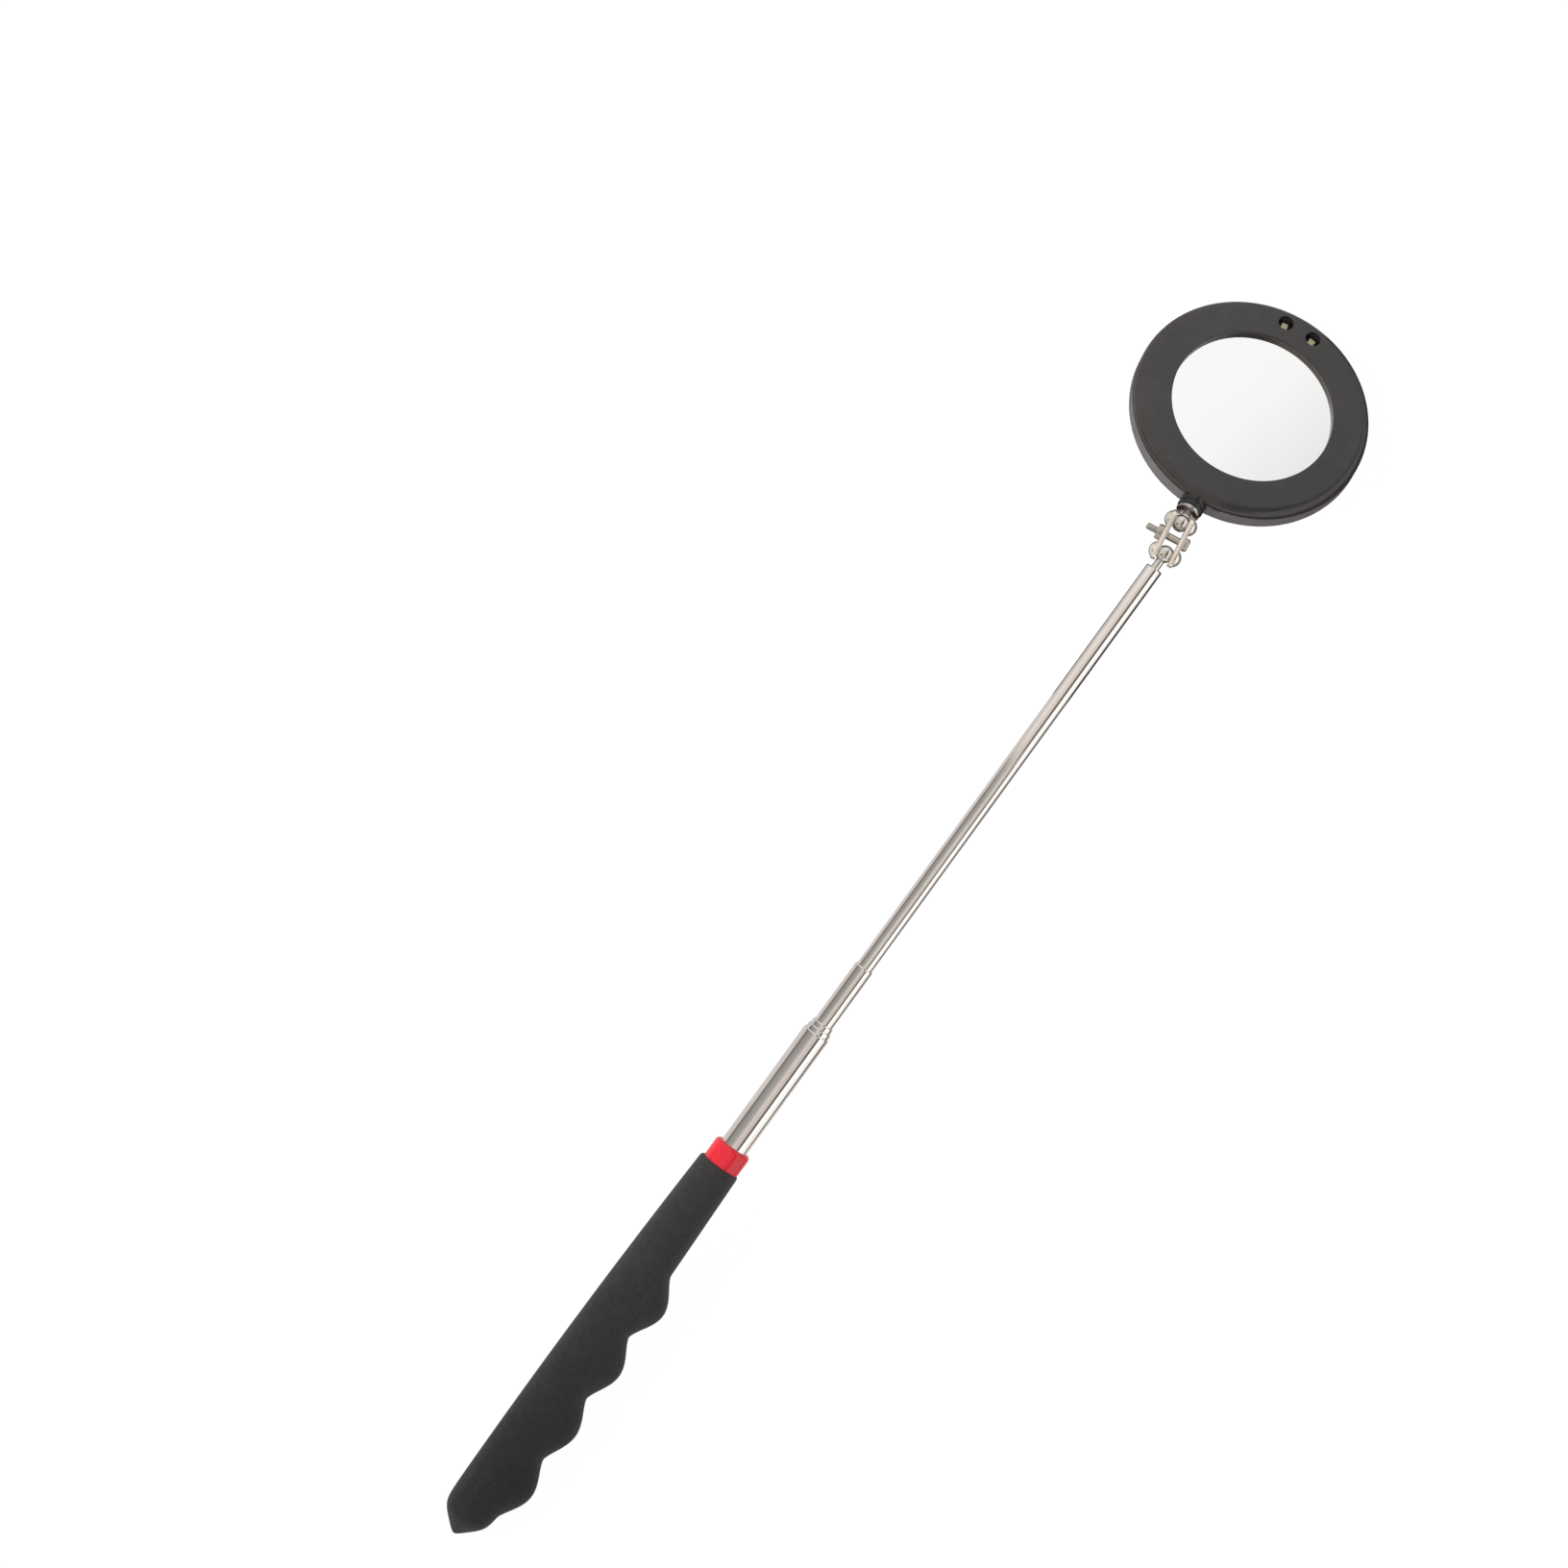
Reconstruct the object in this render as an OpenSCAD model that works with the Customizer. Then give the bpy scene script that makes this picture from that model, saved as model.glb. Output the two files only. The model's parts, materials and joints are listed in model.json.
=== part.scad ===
// Telescoping inspection mirror with a lighted round head.
// +X runs along the rod towards the head, +Z is up. The tool lies on z = 0: the grip's end and the
// head's far rim touch the ground and the rod rises towards the swivel.

/* [Rest pose] */
// Droop of the clamp plates below level
clamp_droop = 12; // [0:1:30]
// Turn of the clamp plates away from the rod, seen from above
clamp_yaw = 8.4; // [0:0.1:9]
// Droop of the head's stem below level
head_droop = 27.3; // [15:0.1:45]
// Turn of the head's stem away from the rod, seen from above
head_yaw = 3.3; // [0:0.1:9]
// Roll of the head about its stem
head_roll = -3.2; // [-10:0.1:10]
// Roll of the whole tool towards the finger bumps, where its weight is over what it rests on
tool_roll = 8.7; // [0:0.1:12]

/* [Rod] */
// Outer diameter of tube 1, each later tube is 1 mm smaller
tube_od = 10; // [9:0.5:12]
// Wall of every tube
tube_wall = 0.3; // [0.25:0.01:0.35]
// Length of tube 1
tube_1_l = 151.5; // [120:0.5:152]
// How much longer each of tubes 2 to 4 is than the one outside it
tube_step = 2; // [1:0.5:4]
// Length of tube 5
tube_5_l = 187; // [180:1:200]
// Length of each tube that shows: tubes 1 to 5
shows = [48.8, 2, 2, 24, 169.2]; // [2:0.1:170]
// Length of a friction spring
spring_l = 12; // [6:1:14]

/* [Grip] */
// Length of the foam grip
grip_l = 158.7; // [150:0.1:170]
// Half thickness of the grip, which is also its largest reach at the back
grip_half = 9.8; // [9:0.1:12]
// Reach of the finger bumps from the tube's axis
bump_reach = 14.5; // [12:0.1:16]
// Distance between two finger bumps
bump_pitch = 26; // [22:0.1:28]
// Distance of the last bump from the grip's end
bump_start = 26.4; // [24:0.1:30]
// Slope of the conical end
nose_slope = 1.15; // [1:0.05:1.5]
// Rounding of the tip
tip_r = 0.6; // [0.3:0.1:1.5]
// Length of the red collar
collar_l = 8; // [6:0.5:10]
// Diameter of the red collar
collar_od = 13.7; // [13:0.1:15]

/* [Swivel] */
// Diameter of both balls
ball_d = 6.1; // [5.6:0.1:6.4]
// Distance between the balls
ball_spacing = 12.2; // [12:0.1:14]
// Length of neck between the last tube and the lower ball
neck_l = 6; // [6:0.1:8]
// Diameter of both necks
neck_d = 3; // [2.4:0.1:3]
// Gap between the clamp plates
plate_gap = 4.8; // [4.6:0.1:5]
// Thickness of a clamp plate
plate_t = 1.7; // [1.2:0.1:2]
// Width of a clamp plate
plate_w = 6.8; // [6:0.1:7.2]
// Diameter of the clamp screw
screw_d = 2.5; // [2:0.1:3]

/* [Head] */
// Outer diameter of the housing
head_d = 83.5; // [80:0.1:86]
// Thickness of the housing
head_t = 11.4; // [11:0.1:13]
// Rounding of the housing's edges
edge_r = 3; // [2:0.1:3.5]
// Wall of the housing
wall = 1.6; // [1.4:0.1:1.8]
// Diameter of the mirror that shows
mirror_d = 57.2; // [54:0.1:58]
// Depth of the mirror below the front face
mirror_recess = 2.2; // [1.9:0.1:2.4]
// Distance from the upper ball to the middle of the head
head_reach = 51.5; // [50:0.1:54]
// Distance of the lights from the head's middle
light_ring = 36.1; // [35.8:0.1:36.3]
// Angle of each light from the line of the stem
light_angle = 8.6; // [8:0.1:10]
// Diameter of the light holes
light_hole_d = 5.4; // [4.8:0.1:5.8]

/* [Hidden] */
$fn = 64;
eps = 0.01;
fit = 0.05;              // radial clearance of a running fit

// Rod: distances along its axis from the grip's end
tube_count = 5;
od_step = 1;
handle_r = tube_od / 2 + od_step / 2;
handle_from = 11.2;
plug_t = 1.8;
plug_l = 8;
handle_to = grip_l + collar_l - 1.5;
rod_from = grip_l + collar_l;
lip_l = 1.6;             // rolled mouth of a tube
collar_round = 1.2;
spring_t = od_step / 2 - tube_wall - 0.03;
function tube_r(i) = tube_od / 2 - (i - 1) * od_step / 2;
function tube_l(i) = i == tube_count ? tube_5_l : tube_1_l + (i - 1) * tube_step;
function mouth(i) = i == 0 ? rod_from : mouth(i - 1) + shows[i - 1];
function foot(i) = mouth(i) - tube_l(i);
ball_at = mouth(tube_count) + neck_l;

// Grip: rings of points, each an oval whose finger side reaches further than its back
grip_sides = 28;
grip_steps = 44;
body_from = 14;
front_round = 0.8;
function back_reach(s) = grip_half - 1.8 * pow((s - 61) / 97, 2);
function groove_reach(s) = s > 48 ? 10.3 - 2.9 * pow((s - 48) / 110, 1.15)
    : 10.3 - 1.1 * pow((48 - s) / 34, 2);
function bump(s) = abs(s - bump_start - 1.5 * bump_pitch) > 2 * bump_pitch ? 0
    : pow((1 + cos(360 * (s - bump_start) / bump_pitch)) / 2, 0.8);
function finger_reach(s) = groove_reach(s) + (bump_reach - groove_reach(s)) * bump(s);
function cone(s) = sqrt(pow(nose_slope * s, 2) + 2 * tip_r * s) / grip_half;
function nose(s) = cone(s) / pow(1 + pow(cone(s), 6), 1 / 6);
function front_edge(s) = min(0, grip_l - front_round - s);
function oval_half(s) = nose(s) * (back_reach(s) - 0.1 * bump(s)) + front_edge(s);
// The sides are turned a little so that one is flat on the ground at rest
side_turn = -2;
function oval(s) = [for (k = [0:grip_sides - 1]) let (a = 360 * k / grip_sides + side_turn)
    [s, cos(a) * (nose(s) * (cos(a) > 0 ? back_reach(s) : finger_reach(s)) + front_edge(s)),
     sin(a) * oval_half(s)]];
grip_stations = [0.1, 0.6, 1.5, for (s = [3:1.6:body_from - 1]) s,
    for (i = [0:grip_steps]) body_from + (grip_l - front_round - body_from) * i / grip_steps,
    grip_l];

// Rest pose: the rod's slope puts the grip's end and the head's rim on the ground
function rolled(v) = [v[0], v[1] * cos(tool_roll) - v[2] * sin(tool_roll),
    v[1] * sin(tool_roll) + v[2] * cos(tool_roll)];
function aim(reach, droop, yaw) =
    reach * rolled([cos(droop) * cos(yaw), cos(droop) * sin(yaw), -sin(droop)]);
clamp_aim = aim(ball_spacing, clamp_droop, clamp_yaw);
head_aim = aim(head_reach, head_droop, head_yaw);
lean_x = sin(head_droop) * cos(head_roll);
face_aim = rolled([lean_x * cos(head_yaw) + sin(head_roll) * sin(head_yaw),
    lean_x * sin(head_yaw) - sin(head_roll) * cos(head_yaw), cos(head_droop) * cos(head_roll)]);
// How far the rounded housing reaches along a direction, from the share of the face's axis in it
function rim_reach(share) = (head_d / 2 - edge_r) * sqrt(1 - share * share)
    + (head_t / 2 - edge_r) * share + edge_r;
ball_height = rim_reach(face_aim[2]) - clamp_aim[2] - head_aim[2];
function height_at(p, rise) = p[0] * sin(rise) * cos(tool_roll) + p[1] * sin(tool_roll)
    + p[2] * cos(rise) * cos(tool_roll);
function axis_height(rise) = -min([for (s = grip_stations) for (p = oval(s)) height_at(p, rise)]);
rise_guess = asin((ball_height - grip_half) / (ball_at * cos(tool_roll)));
rod_rise = asin((ball_height - axis_height(rise_guess)) / (ball_at * cos(tool_roll)));
rod_aim = aim(ball_at, -rod_rise, 0);

// The origin is under the middle of the tool's box
reach = rod_aim + clamp_aim + head_aim;
rod_base = [-(reach[0] + rim_reach(face_aim[0])) / 2, -reach[1], axis_height(rod_rise)];
lower_ball = rod_base + rod_aim;
upper_ball = lower_ball + clamp_aim;

// Swivel
ball_r = ball_d / 2;
plate_in = plate_gap / 2;
plate_out = plate_in + plate_t;
dome_r = 3.3;
dome_y = 2.6;
dimple_r = 1.7;
dimple_y = 3;
nut_flats = 5;
nut_t = 2;
screw_head_r = 2.35;
screw_head_t = 1.8;
screw_tip = plate_out + nut_t + 3.9;
thread_pitch = 0.45;

// Head: heights are measured from its middle plane
front = head_t / 2;
seam_front = 2.2;
seam_rear = 1.9;
lip_r = 0.6;             // rounding of the window's edge
glass_top = front - mirror_recess;
glass_t = 2;
glass_r = mirror_d / 2 + 1.5;
pad_t = 0.9;
pad_bottom = glass_top - glass_t - pad_t;
inner_front = front - wall;
shell_in_r = head_d / 2 - wall;
socket_r = 4.6;
socket_from = -45.4;
socket_to = -38.2;
ferrule_from = socket_from - 1.4;
shank_r = 2;
post_ring = 35;
post_angles = [50, 130, 230, 310];
board_top = glass_top - 1.2;
led_w = 2.3;
cover_r = 12;
tab_r = 13.6;
floor_in = -front + wall;
switch_x = -26;
switch_travel = 3;
cell_r = 10;
cell_t = 1.6;
cover_in = floor_in - 0.05;
cells_from = floor_in;
leaf_top = cells_from + 2 * cell_t + 0.2;

module posed(at) translate(at) rotate([tool_roll, 0, 0]) children();
module on_rod(s) posed(rod_base) rotate([0, -rod_rise, 0]) translate([s, 0, 0]) children();
module on_clamp() posed(lower_ball) rotate([0, clamp_droop, clamp_yaw]) children();
module on_head() posed(upper_ball) rotate([head_roll, head_droop, head_yaw])
    translate([head_reach, 0, 0]) children();

// A solid turned about X from [radius, x] points
module turned(points) rotate([0, 90, 0]) rotate_extrude() polygon(points);
// A ring with its axis along Z
module ring(r_out, r_in, low, high) translate([0, 0, low]) difference() {
    cylinder(r = r_out, h = high - low);
    translate([0, 0, -1]) cylinder(r = r_in, h = high - low + 2);
}
// Half outline of a disc with rounded edges, as radius and height
module disc_outline(r, half_t, edge) {
    translate([0, -half_t]) square([r - edge, 2 * half_t]);
    translate([0, edge - half_t]) square([r, 2 * (half_t - edge)]);
    for (side = [-1, 1]) translate([r - edge, side * (half_t - edge)]) circle(r = edge);
}
function arc(centre, r, from, to, steps = 8) =
    [for (i = [0:steps]) let (a = from + (to - from) * i / steps) centre + r * [cos(a), sin(a)]];

module grip_body() {
    rings = [for (s = grip_stations) each oval(s)];
    last = len(grip_stations) - 1;
    n = grip_sides;
    polyhedron(rings, [
        [for (k = [0:n - 1]) k],
        [for (k = [n - 1:-1:0]) last * n + k],
        for (i = [0:last - 1], k = [0:n - 1]) [i * n + k, (i + 1) * n + k, i * n + (k + 1) % n],
        for (i = [0:last - 1], k = [0:n - 1])
            [(i + 1) * n + k, (i + 1) * n + (k + 1) % n, i * n + (k + 1) % n]], 4);
}

module foam_grip() color("#2e2d2d") on_rod(0) difference() {
    grip_body();
    translate([handle_from - plug_t, 0, 0]) rotate([0, 90, 0]) cylinder(r = handle_r, h = grip_l);
}

module handle_tube() color("#c8c8c8") on_rod(0) tube(handle_r, handle_from, handle_to, tube_r(1));

module end_plug() color("#1c1c1c") on_rod(handle_from - plug_t) turned([[0, 0], [handle_r, 0],
    [handle_r, plug_t], [handle_r - tube_wall - fit, plug_t], [handle_r - tube_wall - fit, plug_l],
    [0, plug_l]]);

module grip_collar() color("#ec3240") on_rod(grip_l) turned(concat(
    [[handle_r, 0], [collar_od / 2, 0]],
    arc([collar_od / 2 - collar_round, collar_l - collar_round], collar_round, 0, 90),
    [[tube_r(1) + 0.1, collar_l], [tube_r(1) + 0.1, collar_l - 1.5], [handle_r, collar_l - 1.5]]));

// A tube with a rolled mouth that guides the next one
module tube(r, from, to, next_r) {
    bore = r - tube_wall;
    guide = next_r + 0.06;
    translate([from, 0, 0]) turned([[bore, 0], [r, 0], [r, to - from - 0.3], [r - 0.3, to - from],
        [guide, to - from], [guide, to - from - lip_l], [bore, to - from - lip_l - 0.4]]);
}

module rod_tube(i) color("#d9d4cb") on_rod(0)
    tube(tube_r(i), foot(i), mouth(i), i == tube_count ? neck_d / 2 : tube_r(i + 1));

// A split spring sleeve that brakes a tube in the one outside it
module friction_spring(i) color("#b08a4a") on_rod(foot(i)) difference() {
    turned([[tube_r(i), 0], [tube_r(i) + spring_t, 0.3], [tube_r(i) + spring_t, spring_l - 0.3],
        [tube_r(i), spring_l]]);
    translate([-1, -0.5, 0]) cube([spring_l + 2, 1, handle_r + 1]);
}

// A ball on a neck with a shoulder that a rolled edge or a ferrule holds
module ball_stud(r_shank, shank_from, shank_to) {
    rotate([0, 90, 0]) {
        sphere(r = ball_r);
        cylinder(r = neck_d / 2, h = shank_from + eps);
    }
    turned([[0, shank_from], [r_shank, shank_from], [r_shank, shank_to - 0.4],
        [r_shank - 0.4, shank_to], [0, shank_to]]);
}

module lower_ball_stud() color("#d8d2c6") on_rod(ball_at) rotate([0, 0, 180])
    ball_stud(tube_r(tube_count) - tube_wall - 0.06, neck_l + lip_l + 0.5, neck_l + lip_l + 12);

module upper_ball_stud() color("#d8d2c6") on_head() translate([-head_reach, 0, 0])
    ball_stud(shank_r, head_reach + socket_from + 0.1, head_reach + socket_to - 1.4);

// One plate on the +Y side: a flat bar with round ends, a dome and a dimple at each ball
module clamp_plate() difference() {
    union() {
        translate([0, plate_out, 0]) rotate([90, 0, 0]) linear_extrude(plate_t) {
            translate([0, -plate_w / 2]) square([ball_spacing, plate_w]);
            for (x = [0, ball_spacing]) translate([x, 0]) circle(d = plate_w);
        }
        for (x = [0, ball_spacing]) translate([x, 0, 0]) rotate([-90, 0, 0]) rotate_extrude()
            polygon(concat([[0, plate_in + 0.4]], arc([0, dome_y], dome_r, 27, 90, 12),
                [[0, dome_y + dome_r]]));
    }
    for (x = [0, ball_spacing]) {
        translate([x, 0, 0]) rotate([90, 0, 0]) sphere(r = ball_r + fit);
        translate([x, dimple_y, 0]) rotate([90, 0, 0]) sphere(r = dimple_r);
    }
    translate([ball_spacing / 2, 0, 0]) rotate([-90, 0, 0])
        cylinder(r = screw_d / 2 + fit, h = plate_out + 1);
}

module clamp_plate_left() color("#ebe1d4") on_clamp() clamp_plate();
module clamp_plate_right() color("#ebe1d4") on_clamp() mirror([0, 1, 0]) clamp_plate();

// Pan head screw along Y with a cross recess and cut thread
module clamp_screw() color("#b9b2a4") on_clamp() translate([ball_spacing / 2, 0, 0])
    rotate([-90, 0, 0]) difference() {
        r = screw_d / 2;
        thread_from = plate_out + nut_t;
        turns = floor((screw_tip - thread_from - 0.4) / thread_pitch);
        top = -plate_out - screw_head_t;
        rotate_extrude() polygon(concat(
            [[0, top], [screw_head_r - 0.9, top]],
            arc([screw_head_r - 0.9, top + 0.9], 0.9, -90, 0, 5),
            [[screw_head_r, -plate_out], [r, -plate_out]],
            [for (i = [0:turns - 1], p = [[r, 0.02], [r - 0.22, 0.24]])
                [p[0], thread_from + i * thread_pitch + p[1]]],
            [[r, thread_from + turns * thread_pitch], [r - 0.4, screw_tip], [0, screw_tip]]));
        for (a = [0, 90]) rotate([0, 0, a]) translate([-1.3, -0.28, top - 1])
            cube([2.6, 0.56, 1.9]);
    }

module clamp_nut() color("#c9c0b0") on_clamp() translate([ball_spacing / 2, plate_out, 0])
    rotate([-90, 0, 0]) difference() {
        intersection() {
            cylinder(d = nut_flats / cos(30), h = nut_t, $fn = 6);
            translate([0, 0, -2]) cylinder(r1 = nut_flats / 2 + 2.3, r2 = nut_flats / 2 - 0.02,
                h = nut_t + 2);
        }
        translate([0, 0, -1]) cylinder(r = screw_d / 2 + 0.02, h = nut_t + 2);
    }

module stem_socket() color("#262525") on_head() difference() {
    turned([[0, socket_from], [socket_r - 0.4, socket_from], [socket_r, socket_from + 0.4],
        [socket_r, socket_from + 1.5], [socket_r - 0.35, socket_from + 1.7],
        [socket_r - 0.35, socket_from + 2.1], [socket_r, socket_from + 2.3],
        [socket_r, socket_to], [0, socket_to]]);
    translate([socket_from - 1, 0, 0]) rotate([0, 90, 0]) cylinder(r = shank_r + 0.06,
        h = socket_to - socket_from - 0.2);
}

module stem_ferrule() color("#d6d6d6") on_head() turned([[neck_d / 2 + 0.1, socket_from],
    [neck_d / 2 + 0.1, socket_from - 0.7], [3.5, ferrule_from + 0.1], [3.8, ferrule_from],
    [4.05, ferrule_from], [4.25, ferrule_from + 0.25], [4.25, socket_from - 0.2],
    [4.1, socket_from]]);

// Housing
module socket_hole() translate([-head_d, 0, 0]) rotate([0, 90, 0])
    cylinder(r = socket_r + 0.02, h = head_d + socket_to + 0.1);
module at_posts() for (a = post_angles) rotate([0, 0, a]) translate([post_ring, 0, 0]) children();
module at_lights() for (a = [-light_angle, light_angle]) rotate([0, 0, a])
    translate([light_ring, 0, 0]) children();

module front_bezel() color("#4c4a49") on_head() difference() {
    union() {
        rotate_extrude($fn = 128) difference() {
            union() {
                intersection() {
                    disc_outline(head_d / 2, front, edge_r);
                    translate([mirror_d / 2 + lip_r, seam_front]) square([head_d, head_t]);
                }
                translate([mirror_d / 2, glass_top]) square([2 * lip_r, front - lip_r - glass_top]);
                translate([mirror_d / 2 + lip_r, front - lip_r]) circle(r = lip_r);
            }
            disc_outline(glass_r + 0.15, glass_top + 0.05, eps);
            intersection() {
                disc_outline(shell_in_r, inner_front, edge_r - wall);
                translate([glass_r + 1.4, 0]) square([head_d, head_t]);
            }
        }
        at_posts() translate([0, 0, 2]) cylinder(r = 2.4, h = inner_front - 2 + eps, $fn = 32);
    }
    at_lights() cylinder(d = light_hole_d, h = front + 1);
    at_posts() translate([0, 0, 1]) cylinder(r = 1.05, h = 3, $fn = 24);
    socket_hole();
}

module rear_shell() color("#6a6766") on_head() difference() {
    union() {
        rotate_extrude($fn = 128) difference() {
            disc_outline(head_d / 2, front, edge_r);
            disc_outline(shell_in_r, inner_front, edge_r - wall);
            translate([-1, seam_rear]) square([head_d, head_t]);
        }
        ring(shell_in_r - 0.1, shell_in_r - 1.1, seam_rear - 1.1, seam_rear + 1.1);
        ring(shell_in_r + eps, shell_in_r - 1.1, seam_rear - 1.6, seam_rear - 1.1 + eps);
        at_posts() translate([0, 0, floor_in - eps])
            cylinder(r = 2.6, h = seam_rear - floor_in, $fn = 32);
        for (y = [-5, 5]) translate([35.5, y, floor_in - eps])
            cylinder(r = 1.5, h = board_top - 1 - floor_in, $fn = 24);
        ring(23.2, 22, floor_in - eps, pad_bottom);
    }
    translate([0, 0, -front - 1]) cylinder(r = cover_r + 0.2, h = wall + 2);
    for (a = [0, 180]) rotate([0, 0, a + 45 - 17]) translate([0, 0, -front - 1])
        rotate_extrude(angle = 34) translate([cover_r - 1, 0]) square([tab_r - cover_r + 1.2, wall + 2]);
    translate([switch_x - 1.3, -3.7, -front - 1]) cube([2.6, 7.4, wall + 2]);
    at_posts() {
        translate([0, 0, -front - 1]) cylinder(r = 1.1, h = head_t, $fn = 24);
        translate([0, 0, -front - 1]) cylinder(r = 2.1, h = 2.8, $fn = 32);
    }
    for (x = [-25, 20]) translate([x, -1.5, -1.5]) cube([5, 3, 5]);
    rotate([0, 0, 191]) translate([head_d / 2 - 0.7, -1.5, seam_rear - 0.8]) cube([2, 3, 1]);
    socket_hole();
}

module mirror_glass() color("#eceff0") on_head() translate([0, 0, glass_top - glass_t])
    cylinder(r = glass_r, h = glass_t, $fn = 128);
module mirror_backing() color("#222222") on_head() translate([0, 0, pad_bottom])
    cylinder(r = glass_r - 1.5, h = pad_t);

module led_board() color("#161616") on_head() translate([32.2, -7.2, board_top - 1])
    cube([5.4, 14.4, 1]);
module led(side) color("#efe39a") on_head() rotate([0, 0, side * light_angle])
    translate([light_ring - led_w / 2, -led_w / 2, board_top]) cube([led_w, led_w, 1]);
module led_left() led(1);
module led_right() led(-1);

// Coin cells under a turned cap
module battery_holder() color("#202020") on_head() {
    rotate_extrude() polygon([[0, leaf_top], [cell_r + 0.3, leaf_top], [cell_r + 0.3, -3],
        [cell_r + 1.5, -3], [cell_r + 1.5, leaf_top], [14.2, leaf_top], [14.2, floor_in],
        [15.4, floor_in], [15.4, leaf_top + 0.6], [0, leaf_top + 0.6]]);
}
module coin_cell(low) color("#c9cbcc") on_head() rotate_extrude() polygon([[0, low],
    [cell_r - 0.3, low], [cell_r, low + 0.3], [cell_r, low + cell_t - 0.25],
    [cell_r - 1.2, low + cell_t - 0.2], [cell_r - 1.2, low + cell_t], [0, low + cell_t]]);
module coin_cell_outer() coin_cell(cells_from);
module coin_cell_inner() coin_cell(cells_from + cell_t);
module contact_leaf() color("#c9a45a") on_head() translate([0, 0, leaf_top - 0.2])
    cylinder(r = 6, h = 0.2);
module contact_clip() color("#c9a45a") on_head() rotate([0, 0, 160])
    translate([0, 0, -2.9]) rotate_extrude(angle = 40) translate([cell_r + 0.05, 0])
        square([0.2, 1.7]);
module battery_cover() color("#3a3838") on_head() difference() {
    union() {
        translate([0, 0, -front]) cylinder(r = cover_r, h = wall - 0.05);
        ring(cover_r, cell_r + 0.4, cover_in - eps, -3.3);
        for (a = [0, 180]) rotate([0, 0, a - 15]) translate([0, 0, floor_in + 0.1])
            rotate_extrude(angle = 30) translate([cover_r - 0.5, 0])
                square([tab_r - cover_r + 0.5, -3.3 - floor_in - 0.1]);
    }
    translate([-6, -0.8, -front - 1]) cube([12, 1.6, 1.8]);
}

module switch_body() color("#1a1a1a") on_head() difference() {
    translate([switch_x - 2.6, -4.8, floor_in]) cube([5.2, 9.6, 3]);
    translate([switch_x - 1.6, -3.8, floor_in - 1]) cube([3.2, 7.6, 2.6]);
}
module switch_slider() color("#101010") on_head()
    translate([switch_x, -switch_travel / 2, 0]) {
        translate([-1.5, -2.2, floor_in + 0.1]) cube([3, 4.4, 1.3]);
        translate([-1.1, -2, -front - 0.8]) cube([2.2, 4, wall + 1]);
        for (y = [-1.4:0.7:1.4]) translate([-1.1, y - 0.15, -front - 1.1]) cube([2.2, 0.3, 0.4]);
    }

module wire(r) on_head() rotate([0, 0, 14]) rotate_extrude(angle = 150) translate([r, -3])
    circle(r = 0.5, $fn = 16);
module red_wire() color("#b3262b") wire(30);
module black_wire() color("#161616") wire(31.4);

module housing_screws() color("#8f9092") on_head() at_posts() difference() {
    union() {
        translate([0, 0, -front + 0.3]) cylinder(r = 1.95, h = 1.5, $fn = 32);
        translate([0, 0, -front + 1.8 - eps]) cylinder(r = 1, h = 7.8, $fn = 24);
    }
    for (a = [0, 90]) rotate([0, 0, a]) translate([-1.1, -0.25, -front - 1]) cube([2.2, 0.5, 1.9]);
}

foam_grip();
handle_tube();
end_plug();
grip_collar();
rod_tube(1);  // tube_1
rod_tube(2);  // tube_2
rod_tube(3);  // tube_3
rod_tube(4);  // tube_4
rod_tube(5);  // tube_5
friction_spring(1);  // friction_spring_1
friction_spring(2);  // friction_spring_2
friction_spring(3);  // friction_spring_3
friction_spring(4);  // friction_spring_4
friction_spring(5);  // friction_spring_5
lower_ball_stud();
clamp_plate_left();
clamp_plate_right();
clamp_screw();
clamp_nut();
upper_ball_stud();
stem_socket();
stem_ferrule();
front_bezel();
rear_shell();
mirror_glass();
mirror_backing();
led_board();
led_left();
led_right();
battery_holder();
coin_cell_inner();
coin_cell_outer();
contact_leaf();
contact_clip();
battery_cover();
switch_body();
switch_slider();
red_wire();
black_wire();
housing_screws();
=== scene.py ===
import json
import math
import bmesh
import bpy
import numpy as np
from mathutils import Matrix, Vector


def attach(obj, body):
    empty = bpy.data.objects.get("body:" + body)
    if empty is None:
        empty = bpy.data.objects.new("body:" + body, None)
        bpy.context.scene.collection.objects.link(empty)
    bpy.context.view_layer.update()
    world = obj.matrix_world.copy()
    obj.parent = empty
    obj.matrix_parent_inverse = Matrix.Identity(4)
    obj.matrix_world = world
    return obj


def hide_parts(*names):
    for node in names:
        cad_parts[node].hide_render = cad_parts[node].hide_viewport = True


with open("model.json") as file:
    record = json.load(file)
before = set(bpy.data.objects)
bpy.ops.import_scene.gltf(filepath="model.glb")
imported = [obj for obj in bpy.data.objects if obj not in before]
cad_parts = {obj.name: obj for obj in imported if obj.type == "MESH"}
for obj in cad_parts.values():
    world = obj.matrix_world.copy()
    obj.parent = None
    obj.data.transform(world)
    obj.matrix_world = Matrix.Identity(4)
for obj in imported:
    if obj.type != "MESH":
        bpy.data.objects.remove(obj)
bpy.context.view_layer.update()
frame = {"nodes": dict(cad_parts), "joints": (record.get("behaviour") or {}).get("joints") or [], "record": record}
joints = {joint["name"]: joint for joint in frame["joints"]}
mm = 0.001
print("frame loaded")


def unit(v):
    return np.asarray(v, float) / np.linalg.norm(v)


class Place:
    # an origin with three axes of its own; out() brings its points into the frame, into() takes them back
    def __init__(self, origin, x, z):
        self.origin = np.asarray(origin, float)
        y = unit(np.cross(z, x))
        self.axes = np.stack([unit(x), y, np.cross(unit(x), y)])

    def out(self, points):
        return self.origin + np.asarray(points, float) @ self.axes

    def into(self, points):
        return (points - self.origin) @ self.axes.T


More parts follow.
